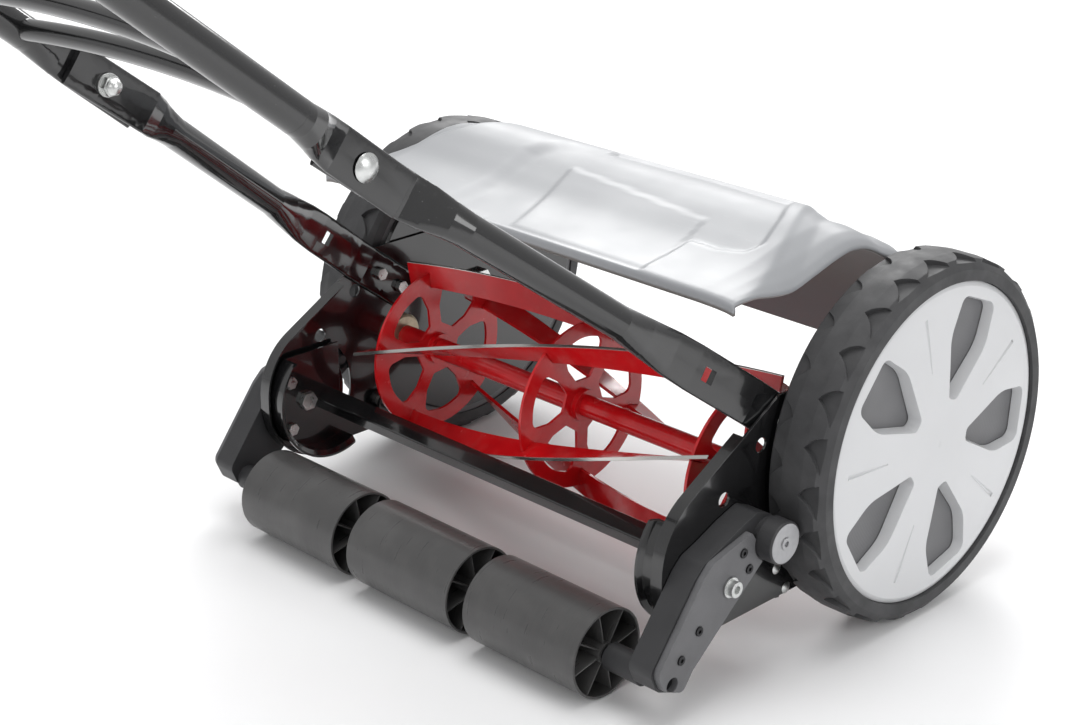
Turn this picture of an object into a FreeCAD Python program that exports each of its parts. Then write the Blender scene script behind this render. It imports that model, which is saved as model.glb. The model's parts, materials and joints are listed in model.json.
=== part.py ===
import FreeCAD, Part
import math
import os

from FreeCAD import Vector

# Reel mower.  Lengths are in millimetres.  +X is the mower's right side, +Y is forwards and +Z is up.
# Everything is laid out from the middle of the wheel axle line, with the ground at Z = 0, and is moved
# along Y when it is written, so that the origin is on the ground under the middle of the whole mower.

# ---------------------------------------------------------------- driving dimensions
WHEEL_RADIUS = 150.0            # outside of the tread, and the height of the wheel axles
WHEEL_INNER_X = 236.0           # side of the tyre next to the side plate
WHEEL_OUTER_X = 290.0           # outer sidewall of the tyre
RIM_RADIUS = 132.0              # seat of the tyre on the rim
SIDEWALL_RADIUS = 141.0         # where the flat sidewall turns into the tread
LUG_COUNT = 25                  # tread notches around each shoulder
LUG_DEPTH = 4.6
COVER_RADIUS = 131.6
COVER_EDGE_X = 288.0
COVER_DOME = 3.0                # how far the middle of the wheel cover stands out past its edge
COVER_WALL = 2.5
OPENING_COUNT = 5
OPENING_PHASE = 68.0            # degrees from +Y towards +Z
HUB_RADIUS = 20.0
AXLE_RADIUS = 8.0

GEAR_MODULE = 3.0
RING_TEETH = 80
PINION_TEETH = 12
GEAR_INNER_X = 240.0
GEAR_WIDTH = 13.0
RUNNING_CLEARANCE = 0.05        # radial clearance of every shaft in its bore

REEL_Y = -99.0
REEL_Z = 125.4
SHAFT_RADIUS = 9.5
JOURNAL_RADIUS = 6.0
SPIDER_X = 180.0
SPIDER_RADIUS = 73.75
SPIDER_RIM = 13.0
SPIDER_THICKNESS = 2.5
BLADE_COUNT = 5
BLADE_OUTER = 82.0
BLADE_INNER = 60.0
BLADE_THICKNESS = 3.0
BLADE_HALF_LENGTH = 200.0
BLADE_TWIST = -0.234            # degrees per millimetre along +X
BLADE_PHASE = 126.0             # degrees from +Y towards +Z, at the middle of the reel

PLATE_OUTER_X = 234.0
PLATE_THICKNESS = 2.0
PLATE_FLANGE = 11.0             # width of the inward flange, measured from the outer face
BRACKET_X = 228.0               # outer face of the inner bracket that carries the tie bar
REAR_ROUND_Y = -199.0
REAR_ROUND_Z = 101.0
REAR_ROUND_RADIUS = 58.5

ROLLER_Y = -275.0
ROLLER_Z = 36.6
ROLLER_RADIUS = 36.3
ROLLER_LENGTH = 118.4
ROLLER_GAP = 19.3
ROLLER_AXLE_RADIUS = 6.0

PIVOT_Y = -213.9
PIVOT_Z = 94.2
KNOB_REACH = 51.6               # from the arm's pivot to the knob
KNOB_ANGLE = 28.0               # degrees from +Y towards +Z, at the height the mower is set to
KNOB_RADIUS = 17.3
KNOB_FACE_X = 277.0
SPRING_START_X = 239.0          # collar on the knob's stem
SPRING_END_X = 252.0            # bottom of the counterbore in the arm
ARM_INNER_X = 234.6
ARM_OUTER_X = 258.6
ARM_COVER_X = 262.0
HEIGHT_STEP = 21.7              # degrees of swing between two cutting heights
STEPS_DOWN = 1                  # heights that lower the roller from here
STEPS_UP = 2                    # heights that lift the roller from here
SOCKET_RADIUS = 6.2             # open socket in the end of each roller arm
SOCKET_DEPTH = 14.0

TUBE_RADIUS = 12.5
TUBE_WALL = 1.3
FLAT_HALF_HEIGHT = 18.0
FLAT_HALF_THICKNESS = 2.5
HANDLE_FLAT_X = 229.0           # middle of the flattened tube end beside the side plate
HANDLE_BEND = Vector(HANDLE_FLAT_X, -146.4, 206.4)
HANDLE_JOINT = Vector(139.2, -464.4, 446.9)     # where the tubes' middle lines meet
BOLT_OFFSET = 12.0              # the bolt sits this far below that point, along the lower tube
UPPER_PITCH = 38.8              # degrees above the ground
UPPER_CONVERGE = -0.047         # sideways run of an upper tube, per millimetre of its length
UPPER_LENGTH = 840.0            # from the bolted joint to the start of the bend at the grip
GRIP_BEND = 60.0
BRACE_RADIUS = 8.0

HOOD_WALL = 3.0
HOOD_LIP = 9.0


# ---------------------------------------------------------------- small helpers
def point(x, y, z):
    return Vector(x, y, z)


def on_circle(y, z, radius, degrees, x=0.0):
    """A point at an angle from +Y towards +Z, on a circle about an axis along X."""
    angle = math.radians(degrees)
    return Vector(x, y + radius * math.cos(angle), z + radius * math.sin(angle))


def drum(x0, x1, radius, y, z):
    """A cylinder along X from x0 to x1."""
    return Part.makeCylinder(radius, x1 - x0, Vector(x0, y, z), Vector(1, 0, 0))


def ring(x0, x1, outer, inner, y, z):
    return drum(x0, x1, outer, y, z).cut(drum(x0 - 1, x1 + 1, inner, y, z))


def rod(start, end, radius):
    return Part.makeCylinder(radius, (end - start).Length, start, end - start)


def turned(profile, y, z):
    """A solid of revolution about an axis along X, from (x, radius) points."""
    points = [Vector(x, y, z + radius) for x, radius in profile]
    face = Part.Face(Part.makePolygon(points + points[:1]))
    return face.revolve(Vector(0, y, z), Vector(1, 0, 0), 360)


def rounded_wire(corners, x):
    """A closed outline in the plane X = x, from (y, z, corner radius) corners."""
    edges = []
    starts = []
    ends = []
    count = len(corners)
    for index in range(count):
        here = Vector(x, corners[index][0], corners[index][1])
        before = Vector(x, corners[index - 1][0], corners[index - 1][1]) - here
        after = Vector(x, corners[(index + 1) % count][0], corners[(index + 1) % count][1]) - here
        radius = corners[index][2]
        half = before.getAngle(after) / 2
        back = radius / math.tan(half)
        first = here + before.normalize() * back
        last = here + after.normalize() * back
        starts.append(first)
        ends.append(last)
        if radius > 0:
            bisector = (before + after).normalize()
            middle = here + bisector * (radius / math.sin(half) - radius)
            edges.append(Part.Arc(first, middle, last).toShape())
    lines = []
    for index in range(count):
        start = ends[index - 1]
        end = starts[index]
        if (end - start).Length > 1e-4:
            lines.append(Part.makeLine(start, end))
    return Part.Wire(Part.__sortEdges__(edges + lines))


def slab(corners, x0, x1):
    """A flat plate with the given outline, from x0 to x1."""
    return Part.Face(rounded_wire(corners, x0)).extrude(Vector(x1 - x0, 0, 0))


def mirrored(shape):
    """The same shape on the mower's other side."""
    return shape.mirror(Vector(0, 0, 0), Vector(1, 0, 0))


def joined(shapes):
    result = shapes[0]
    if len(shapes) > 1:
        result = result.fuse(shapes[1:])
    return result.removeSplitter()


def hexagon(x0, x1, across_flats, y, z):
    radius = across_flats / math.sqrt(3)
    points = [on_circle(y, z, radius, 60 * k, x0) for k in range(7)]
    return Part.Face(Part.makePolygon(points)).extrude(Vector(x1 - x0, 0, 0))


def domed_head(x, radius, height, y, z):
    """A rounded bolt head that stands out along +X from x."""
    ball = (radius * radius + height * height) / (2 * height)
    sphere = Part.makeSphere(ball, Vector(x + height - ball, y, z))
    return sphere.common(drum(x, x + height, radius, y, z))


# ---------------------------------------------------------------- wheels
def tread_notch(degrees, edge_x, tip_x, turn):
    """The cut between two tread lugs: wide at the shoulder, and pointed towards the tread's middle."""
    pitch = 2 * math.pi * WHEEL_RADIUS / LUG_COUNT
    floor = WHEEL_RADIUS - LUG_DEPTH
    beyond = edge_x + (edge_x - tip_x) * 0.4
    tip = Vector(tip_x, 0, floor)
    lead = Vector(edge_x - (edge_x - tip_x) * 0.15, -turn * pitch * 0.60, floor)
    trail = Vector(edge_x - (edge_x - tip_x) * 0.15, turn * pitch * 0.30, floor)
    lead_out = Vector(beyond, lead.y, floor)
    trail_out = Vector(beyond, trail.y, floor)
    lead_mid = (tip + lead) * 0.5 + Vector((edge_x - tip_x) * 0.10, turn * pitch * 0.07, 0)
    trail_mid = (tip + trail) * 0.5 + Vector(-(edge_x - tip_x) * 0.10, turn * pitch * 0.05, 0)
    edges = [
        Part.Arc(tip, lead_mid, lead).toShape(),
        Part.makeLine(lead, lead_out),
        Part.makeLine(lead_out, trail_out),
        Part.makeLine(trail_out, trail),
        Part.Arc(trail, trail_mid, tip).toShape(),
    ]
    cutter = Part.Face(Part.Wire(Part.__sortEdges__(edges))).extrude(Vector(0, 0, 4 * LUG_DEPTH))
    cutter.rotate(Vector(0, 0, 0), Vector(1, 0, 0), degrees - 90)
    cutter.translate(Vector(0, 0, WHEEL_RADIUS))
    return cutter


def tyre():
    shoulder = 6.0
    profile = [
        (WHEEL_INNER_X, RIM_RADIUS),
        (WHEEL_INNER_X, SIDEWALL_RADIUS),
        (WHEEL_INNER_X + shoulder, WHEEL_RADIUS - 1.5),
        (WHEEL_INNER_X + 3 * shoulder, WHEEL_RADIUS),
        (WHEEL_OUTER_X - 3 * shoulder, WHEEL_RADIUS),
        (WHEEL_OUTER_X - shoulder, WHEEL_RADIUS - 1.5),
        (WHEEL_OUTER_X, SIDEWALL_RADIUS),
        (WHEEL_OUTER_X, RIM_RADIUS),
    ]
    body = turned(profile, 0, WHEEL_RADIUS)
    pitch = 360.0 / LUG_COUNT
    notches = []
    for k in range(LUG_COUNT):
        notches.append(tread_notch(93.8 + pitch * k, WHEEL_OUTER_X, WHEEL_OUTER_X - 20, 1))
        notches.append(tread_notch(93.8 + pitch * (k + 0.5), WHEEL_INNER_X, WHEEL_INNER_X + 18, 1))
    return body.cut(notches)


def involute(base, radius):
    """How far round, in radians, an involute from the base circle has turned at a radius."""
    if radius <= base:
        return 0.0
    tangent = math.sqrt((radius / base) ** 2 - 1)
    return tangent - math.atan(tangent)


def gear_outline(teeth, tip, root, thinning, x):
    """The outline of a spur gear about the origin: its tooth flanks follow the involute."""
    pitch = GEAR_MODULE * teeth / 2
    base = pitch * math.cos(math.radians(20))
    half_tooth = math.pi / (2 * teeth) - thinning / (2 * pitch) + involute(base, pitch)
    steps = 4
    points = []
    for k in range(teeth):
        middle = 2 * math.pi * k / teeth
        flank = []
        for step in range(steps + 1):
            radius = max(root, base * 0.985) + (tip - max(root, base * 0.985)) * step / steps
            flank.append((radius, half_tooth - involute(base, radius)))
        if root < flank[0][0]:
            flank.insert(0, (root, flank[0][1]))
        for radius, turn in flank:
            points.append(on_circle(0, 0, radius, math.degrees(middle - turn), x))
        for radius, turn in reversed(flank):
            points.append(on_circle(0, 0, radius, math.degrees(middle + turn), x))
    return Part.Face(Part.makePolygon(points + points[:1]))


def ring_gear_space():
    """The space inside the wheel's ring gear, which is an outside gear one size up."""
    pitch = GEAR_MODULE * RING_TEETH / 2
    face = gear_outline(RING_TEETH, pitch + 1.2 * GEAR_MODULE, pitch - 0.6 * GEAR_MODULE, -0.25, 0)
    mesh = math.degrees(math.atan2(REEL_Z - WHEEL_RADIUS, REEL_Y))
    face.rotate(Vector(0, 0, 0), Vector(1, 0, 0), mesh)
    face.translate(Vector(GEAR_INNER_X - 5, 0, WHEEL_RADIUS))
    return face.extrude(Vector(GEAR_WIDTH + 7, 0, 0))


def wheel_body():
    """Rim, web and hub in one moulding, with the ring gear inside the rim."""
    web_x = 276.4
    web = 2.8
    profile = [
        (WHEEL_INNER_X + 2, 116.5),
        (WHEEL_INNER_X + 2, RIM_RADIUS),
        (WHEEL_OUTER_X - 6, RIM_RADIUS),
        (WHEEL_OUTER_X - 6, RIM_RADIUS - 4),
        (web_x + web, RIM_RADIUS - 6),
        (web_x + web, AXLE_RADIUS + RUNNING_CLEARANCE),
        (GEAR_INNER_X, AXLE_RADIUS + RUNNING_CLEARANCE),
        (GEAR_INNER_X, HUB_RADIUS),
        (web_x, HUB_RADIUS + 2),
        (web_x, 116.5),
    ]
    return turned(profile, 0, WHEEL_RADIUS).cut(ring_gear_space())


def opening_wire(x, grow, phase):
    """A wedge with rounded corners, narrow towards the hub, grown outwards by a distance."""
    angle = math.radians(phase)
    corners = []
    for reach, width, fillet in ((119 + grow, -24 - grow, 8), (119 + grow, 24 + grow, 8),
                                 (84, 27 + grow, 34), (37 - grow, 5.5 + grow, 5),
                                 (37 - grow, -5.5 - grow, 5), (84, -27 - grow, 34)):
        y = reach * math.cos(angle) - width * math.sin(angle)
        z = WHEEL_RADIUS + reach * math.sin(angle) + width * math.cos(angle)
        corners.append((y, z, fillet))
    return rounded_wire(corners, x)


def wheel_cover():
    """The domed outer cover, with five deep wedge openings and a groove along each spoke."""
    steps = 8
    outside = []
    inside = []
    for step in range(steps + 1):
        radius = COVER_RADIUS * step / steps * 0.97
        rise = COVER_DOME * (1 - (radius / COVER_RADIUS) ** 2)
        outside.append((COVER_EDGE_X + rise, radius))
        inside.append((COVER_EDGE_X + rise - COVER_WALL, radius))
    lip = [
        (COVER_EDGE_X - 1.5, COVER_RADIUS),
        (COVER_EDGE_X - 3.5, COVER_RADIUS),
        (COVER_EDGE_X - 3.5, COVER_RADIUS * 0.97),
    ]
    dome = turned(outside + lip + inside[::-1], 0, WHEEL_RADIUS)
    floor_x = 279.8
    top_x = COVER_EDGE_X + COVER_DOME + 2
    walls = []
    pockets = []
    for k in range(OPENING_COUNT):
        phase = OPENING_PHASE + 360.0 * k / OPENING_COUNT
        pockets.append(Part.makeLoft([opening_wire(floor_x - 1, -2.2, phase),
                                      opening_wire(top_x, 0, phase)], True, True))
        walls.append(Part.makeLoft([opening_wire(floor_x, 0, phase),
                                    opening_wire(top_x, 2.2, phase)], True, True))
    inner_space = turned([(200, 0)] + [(x, r) for x, r in outside] + [(200, outside[-1][1])], 0, WHEEL_RADIUS)
    tubs = [wall.common(inner_space) for wall in walls]
    shell = dome.fuse(tubs).cut(pockets)
    grooves = []
    for k in range(OPENING_COUNT):
        phase = OPENING_PHASE + 360.0 * (k + 0.5) / OPENING_COUNT
        near = on_circle(0, WHEEL_RADIUS, 66, phase, COVER_EDGE_X + COVER_DOME - 0.4)
        far = on_circle(0, WHEEL_RADIUS, 114, phase, COVER_EDGE_X + COVER_DOME - 2.0)
        grooves.append(Part.makeCone(0.8, 1.9, (far - near).Length, near, far - near))
    return shell.cut(grooves)


def wheel_axle():
    """A stub axle: flanged at the side plate, with a groove for its clip at the outer end."""
    body = drum(PLATE_OUTER_X - PLATE_THICKNESS - 8, 282, AXLE_RADIUS, 0, WHEEL_RADIUS)
    nut = hexagon(PLATE_OUTER_X - PLATE_THICKNESS - 7, PLATE_OUTER_X - PLATE_THICKNESS, 24, 0, WHEEL_RADIUS)
    collar = drum(PLATE_OUTER_X, GEAR_INNER_X - 0.4, 14, 0, WHEEL_RADIUS)
    groove = ring(279.2, 280.8, AXLE_RADIUS + 1, AXLE_RADIUS - 1.2, 0, WHEEL_RADIUS)
    return joined([body, nut, collar]).cut(groove)


def axle_clip():
    return ring(279.3, 280.7, 13, AXLE_RADIUS - 1.2, 0, WHEEL_RADIUS)


def gear_guard():
    """The fixed dust cover that closes the open side of the wheel around the gears."""
    guard = turned([(PLATE_OUTER_X + 0.3, 0), (PLATE_OUTER_X + 0.3, 124),
                    (PLATE_OUTER_X + 3.0, 126), (PLATE_OUTER_X + 3.0, 122),
                    (PLATE_OUTER_X + 1.8, 120), (PLATE_OUTER_X + 1.8, 0)], 0, WHEEL_RADIUS)
    holes = [(0, WHEEL_RADIUS, 14.5), (REEL_Y, REEL_Z, 16.5)]
    for y, z in plate_bolt_spots() + bedknife_bolt_spots():
        holes.append((y, z, 7))
    return guard.cut([drum(PLATE_OUTER_X - 1, PLATE_OUTER_X + 5, r, y, z) for y, z, r in holes])


# ---------------------------------------------------------------- cutting reel
def reel_shaft():
    middle = drum(-222, 222, SHAFT_RADIUS, REEL_Y, REEL_Z)
    return joined([middle, drum(-256, 256, JOURNAL_RADIUS, REEL_Y, REEL_Z)])


def blade_angle(index, x):
    return BLADE_PHASE + 360.0 * index / BLADE_COUNT + BLADE_TWIST * x


def reel_blade(index):
    """A helical strip that stands edge-on to the reel's axis."""
    stations = 13
    wires = []
    for step in range(stations):
        x = -BLADE_HALF_LENGTH + 2 * BLADE_HALF_LENGTH * step / (stations - 1)
        angle = math.radians(blade_angle(index, x))
        out = Vector(0, math.cos(angle), math.sin(angle))
        across = Vector(0, -math.sin(angle), math.cos(angle)) * (BLADE_THICKNESS / 2)
        centre = Vector(x, REEL_Y, REEL_Z)
        corners = [
            centre + out * BLADE_INNER - across,
            centre + out * BLADE_OUTER - across,
            centre + out * BLADE_OUTER + across,
            centre + out * BLADE_INNER + across,
        ]
        wires.append(Part.makePolygon(corners + corners[:1]))
    return Part.makeLoft(wires, True, False)


def reel_spider(x):
    """A pressed disc with five windows, notched where the blades pass through its rim."""
    x0 = x - SPIDER_THICKNESS / 2
    x1 = x + SPIDER_THICKNESS / 2
    body = drum(x0, x1, SPIDER_RADIUS, REEL_Y, REEL_Z)
    hub = drum(x - 6, x + 6, SHAFT_RADIUS + 4.5, REEL_Y, REEL_Z)
    body = body.fuse(hub).cut(drum(x - 10, x + 10, SHAFT_RADIUS, REEL_Y, REEL_Z))
    cuts = []
    for k in range(BLADE_COUNT):
        angle = blade_angle(k, x)
        middle = angle + 180.0 / BLADE_COUNT
        corners = []
        for radius, turn, fillet in ((24, -20, 3), (40, -27, 6), (60, -23, 7), (62, 0, 40), (60, 23, 7),
                                     (40, 27, 6), (24, 20, 3)):
            spot = on_circle(REEL_Y, REEL_Z, radius, middle + turn)
            corners.append((spot.y, spot.z, fillet))
        cuts.append(slab(corners, x0 - 1, x1 + 1))
        notch = Part.makeBox(SPIDER_THICKNESS + 2, 40, BLADE_THICKNESS + 0.5)
        notch.translate(Vector(x0 - 1, BLADE_INNER - 0.5, -(BLADE_THICKNESS + 0.5) / 2))
        notch.rotate(Vector(0, 0, 0), Vector(1, 0, 0), angle)
        notch.translate(Vector(0, REEL_Y, REEL_Z))
        cuts.append(notch)
    return body.cut(cuts)


def drive_pinion():
    pitch = GEAR_MODULE * PINION_TEETH / 2
    face = gear_outline(PINION_TEETH, pitch + 0.8 * GEAR_MODULE, pitch - 1.2 * GEAR_MODULE, 0.25, 0)
    mesh = math.degrees(math.atan2(REEL_Z - WHEEL_RADIUS, REEL_Y))
    face.rotate(Vector(0, 0, 0), Vector(1, 0, 0), mesh)
    face.translate(Vector(GEAR_INNER_X, REEL_Y, REEL_Z))
    gear = face.extrude(Vector(GEAR_WIDTH, 0, 0))
    slot = Part.makeBox(GEAR_WIDTH + 2, 5.2, 30)
    slot.translate(Vector(GEAR_INNER_X - 1, REEL_Y - 2.6, REEL_Z - 9))
    slot = slot.common(drum(GEAR_INNER_X - 1, GEAR_INNER_X + GEAR_WIDTH + 1, 9, REEL_Y, REEL_Z))
    bore = drum(GEAR_INNER_X - 1, GEAR_INNER_X + GEAR_WIDTH + 1, JOURNAL_RADIUS, REEL_Y, REEL_Z)
    return gear.cut(slot).cut(bore)


def ratchet_pawl():
    """The key that sits in the pinion's bore and drives the shaft one way."""
    pawl = Part.makeBox(GEAR_WIDTH - 2, 4.6, 18)
    pawl.translate(Vector(GEAR_INNER_X + 1, REEL_Y - 2.3, REEL_Z - 8.6))
    pawl = pawl.common(drum(GEAR_INNER_X, GEAR_INNER_X + GEAR_WIDTH, 8.7, REEL_Y, REEL_Z))
    return pawl.cut(drum(GEAR_INNER_X - 1, GEAR_INNER_X + GEAR_WIDTH + 1, JOURNAL_RADIUS, REEL_Y, REEL_Z))


def reel_bearing():
    """A flanged bush in the side plate."""
    bore = JOURNAL_RADIUS + RUNNING_CLEARANCE
    return turned([(224, bore), (224, 17), (226, 19), (229, 19), (232, 15), (236, 15), (236, bore)],
                  REEL_Y, REEL_Z)


# ---------------------------------------------------------------- frame
def plate_corners(shrink):
    """Outline of a side plate, drawn in by a distance."""
    return [
        (-130.5 - shrink, 213.8 - 1.3 * shrink, 5),
        (-258 + shrink, 142.0 - 0.6 * shrink, 60 - shrink),
        (-258 + shrink, 40.5 + shrink, 58 - shrink),
        (-86 - shrink * 0, 40.5 + shrink, 30),
        (44 - shrink, 118 + shrink, 30),
        (44 - shrink, 186 - shrink, 24),
        (-30, 213.8 - shrink, 30),
    ]


def index_slot(x0, x1):
    """The curved slot that the knob's pin follows as the roller arm swings."""
    low = KNOB_ANGLE - STEPS_UP * HEIGHT_STEP
    high = KNOB_ANGLE + STEPS_DOWN * HEIGHT_STEP
    half_width = 4.5
    outer = KNOB_REACH + half_width
    inner = KNOB_REACH - half_width
    middle = (low + high) / 2
    low_end = on_circle(PIVOT_Y, PIVOT_Z, KNOB_REACH, low)
    high_end = on_circle(PIVOT_Y, PIVOT_Z, KNOB_REACH, high)
    spots = [
        on_circle(PIVOT_Y, PIVOT_Z, outer, low, x0),
        on_circle(PIVOT_Y, PIVOT_Z, outer, middle, x0),
        on_circle(PIVOT_Y, PIVOT_Z, outer, high, x0),
        on_circle(high_end.y, high_end.z, half_width, high + 90, x0),
        on_circle(PIVOT_Y, PIVOT_Z, inner, high, x0),
        on_circle(PIVOT_Y, PIVOT_Z, inner, middle, x0),
        on_circle(PIVOT_Y, PIVOT_Z, inner, low, x0),
        on_circle(low_end.y, low_end.z, half_width, low - 90, x0),
    ]
    edges = []
    for index in (0, 2, 4, 6):
        arc = Part.Arc(spots[index], spots[index + 1], spots[(index + 2) % 8])
        edges.append(arc.toShape())
    return Part.Face(Part.Wire(edges)).extrude(Vector(x1 - x0, 0, 0))


def side_plate():
    """Pressed steel plate with a flange turned inwards along its rear edge."""
    inner_x = PLATE_OUTER_X - PLATE_THICKNESS
    flange_x = PLATE_OUTER_X - PLATE_FLANGE
    sheet = slab(plate_corners(0), inner_x, PLATE_OUTER_X)
    band = slab(plate_corners(0), flange_x, inner_x).cut(
        slab(plate_corners(PLATE_THICKNESS), flange_x - 1, inner_x + 1))
    keep_rear = Part.makeBox(100, 200, 300, Vector(flange_x - 10, -370, 0))
    below_tube = Part.makeBox(100, 300, 300, Vector(flange_x - 10, -371, -118))
    below_tube.rotate(Vector(0, -171, 182), Vector(1, 0, 0), 40)
    band = band.common(keep_rear).cut(Part.makeBox(60, 60, 40, Vector(flange_x - 5, -212, 20)))
    plate = joined([sheet, band])
    holes = [
        drum(inner_x - 1, PLATE_OUTER_X + 1, AXLE_RADIUS, 0, WHEEL_RADIUS),
        drum(inner_x - 1, PLATE_OUTER_X + 1, 15, REEL_Y, REEL_Z),
        drum(inner_x - 1, PLATE_OUTER_X + 1, 5, PIVOT_Y, PIVOT_Z),
        drum(inner_x - 1, PLATE_OUTER_X + 1, 6, -150.3, 179.1),
        drum(inner_x - 1, PLATE_OUTER_X + 1, 6, -190.9, 147.4),
    ]
    holes.append(index_slot(inner_x - 1, PLATE_OUTER_X + 1))
    for y, z in plate_bolt_spots() + bracket_bolt_spots():
        holes.append(drum(inner_x - 1, PLATE_OUTER_X + 1, 3, y, z))
    for y, z in bedknife_bolt_spots():
        holes.append(drum(inner_x - 1, PLATE_OUTER_X + 1, 3.4, y, z))
    return plate.cut(holes)


def plate_bolt_spots():
    """Where the flattened handle tube is bolted to the side plate."""
    return [(-126.0, 191.0), (-102.0, 172.9)]


def bracket_bolt_spots():
    return [(-232.0, 116.0), (-232.0, 72.0)]


def bracket():
    """The dished pressing inside the rear of each side plate, which carries the tie bar."""
    radius = REAR_ROUND_RADIUS - 4
    x0 = BRACKET_X - 2
    lip_x = 206
    profile = [
        (x0, 0), (BRACKET_X, 0), (BRACKET_X, radius - 2), (BRACKET_X - 2, radius),
        (lip_x + 5, radius), (lip_x + 2, radius + 3.5), (lip_x, radius + 3.5), (lip_x, radius + 1.5),
        (lip_x + 3.5, radius - 2), (x0, radius - 2),
    ]
    dish = turned(profile, REAR_ROUND_Y, REAR_ROUND_Z)
    front = Part.makeBox(100, 200, 300, Vector(190, -176, -50))
    above = Part.makeBox(100, 300, 200, Vector(190, -350, 139))
    body = dish.cut([front, above])
    holes = [drum(x0 - 1, BRACKET_X + 1, 5.5, PIVOT_Y, PIVOT_Z)]
    for y, z in bracket_bolt_spots():
        holes.append(drum(x0 - 1, BRACKET_X + 1, 3, y, z))
    return body.cut(holes)


def bracket_bolt(y, z):
    """A stud riveted flush into the side plate; a spacer and a nut hold the bracket on it."""
    shank = drum(BRACKET_X - 6, PLATE_OUTER_X, 3, y, z)
    spacer = drum(BRACKET_X, PLATE_OUTER_X - PLATE_THICKNESS, 5, y, z)
    nut = hexagon(BRACKET_X - 6, BRACKET_X - 2, 10, y, z)
    return joined([shank, spacer, nut])


def rear_tie_bar():
    """A rectangular bar across the back, tilted so that its top face slopes down to the rear."""
    depth = 18.0
    height = 12.0
    tilt = 20.0
    half = BRACKET_X - 2
    corners = [(0, 0, 1.2), (depth, 0, 1.2), (depth, -height, 1.2), (0, -height, 1.2)]
    bar = slab(corners, -half, half)
    hollow = slab([(1.6, -1.6, 0.5), (depth - 1.6, -1.6, 0.5), (depth - 1.6, 1.6 - height, 0.5),
                   (1.6, 1.6 - height, 0.5)], -half - 1, half + 1)
    bar = bar.cut(hollow)
    bar.rotate(Vector(0, 0, 0), Vector(1, 0, 0), tilt)
    bar.translate(Vector(0, -202, 92))
    return bar


def bedknife_bar():
    """The bar under the reel that carries the bottom blade, with an ear at each end."""
    half = 224.0
    bar = slab([(-131, 44.3, 0.5), (-106, 30.0, 0.5), (-104.5, 33.0, 0.5), (-129.3, 47.3, 0.5)],
               -half, half)
    ears = []
    for x in (-half, half - 3):
        ears.append(slab([(-134, 43, 3), (-108, 30, 4), (-96, 40, 6), (-112, 72, 8), (-134, 76, 8)],
                         x, x + 3))
    holes = [drum(-half - 1, half + 1, 3.5, y, z) for y, z in bedknife_bolt_spots()]
    return joined([bar] + ears).cut(holes).cut(bedknife_screw_holes(2.6))


def bedknife_bolt_spots():
    return [(-123.5, 66.0), (-110.5, 44.5)]


def bedknife_slope():
    """Along the bar's top face, from its rear edge down to its front edge."""
    return Vector(0, 24.8, -14.3).normalize()


def bedknife_screw_holes(radius):
    across = bedknife_slope().cross(Vector(1, 0, 0))
    holes = []
    for x in bedknife_screw_xs():
        middle = Vector(x, -121.5, 41.0)
        holes.append(rod(middle - across * 12, middle + across * 12, radius))
    return holes


def bedknife_screw_xs():
    return [-170, -85, 0, 85, 170]


def bedknife():
    """The fixed bottom blade, whose front edge the reel blades pass."""
    edge_y = REEL_Y - 12.0
    edge_z = REEL_Z - math.sqrt((BLADE_OUTER + 0.35) ** 2 - 144.0)
    blade = slab([(-129.0, 47.6, 0.2), (-113.0, 38.4, 0.2), (edge_y + 0.8, edge_z - 5.5, 0.2),
                  (edge_y, edge_z, 0.2), (edge_y - 2.8, edge_z - 0.9, 0.2), (-114.5, 41.0, 0.2),
                  (-127.7, 48.6, 0.2)], -202, 202)
    return blade.cut(bedknife_screw_holes(2.6))


def bedknife_screws():
    """Screws that hold the bottom blade to its bar, with their heads underneath."""
    across = bedknife_slope().cross(Vector(1, 0, 0))
    if across.z < 0:
        across = across * -1
    screws = []
    for x in bedknife_screw_xs():
        middle = Vector(x, -121.5, 41.0)
        shank = rod(middle - across * 3.6, middle + across * 3.2, 2.5)
        head = Part.makeCone(4.4, 3.4, 1.6, middle - across * 3.8, across)
        screws.append(shank.fuse(head).removeSplitter())
    return Part.makeCompound(screws)


def bedknife_adjuster(y, z):
    """A bolt through the side plate and the ear of the bedknife bar."""
    shank = drum(216, PLATE_OUTER_X, 3.4, y, z)
    spacer = drum(224.2, PLATE_OUTER_X - PLATE_THICKNESS, 6, y, z)
    nut = hexagon(215, 220.7, 10, y, z)
    return joined([shank, spacer, nut, domed_head(PLATE_OUTER_X, 5, 1.5, y, z)])


# ---------------------------------------------------------------- rear roller
def roller_segment(middle_x):
    """One ribbed plastic roller: a tube with a hub and thin ribs inside."""
    half = ROLLER_LENGTH / 2
    wall = 1.8
    bore = ROLLER_AXLE_RADIUS + RUNNING_CLEARANCE
    x0 = middle_x - half
    x1 = middle_x + half
    shell = ring(x0, x1, ROLLER_RADIUS, ROLLER_RADIUS - wall, ROLLER_Y, ROLLER_Z)
    hub = ring(x0, x1, bore + 2.2, bore, ROLLER_Y, ROLLER_Z)
    web = ring(middle_x - 1.5, middle_x + 1.5, ROLLER_RADIUS - 1, bore + 1, ROLLER_Y, ROLLER_Z)
    ribs = []
    for k in range(8):
        rib = Part.makeBox(ROLLER_LENGTH - 3, ROLLER_RADIUS - 1 - bore - 1, 1.0)
        rib.translate(Vector(x0 + 1.5, bore + 1, -0.5))
        rib.rotate(Vector(0, 0, 0), Vector(1, 0, 0), 45 * k + 12)
        rib.translate(Vector(0, ROLLER_Y, ROLLER_Z))
        ribs.append(rib)
    return joined([shell, hub, web] + ribs)


def roller_axle():
    return drum(-248, 248, ROLLER_AXLE_RADIUS, ROLLER_Y, ROLLER_Z)


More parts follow.
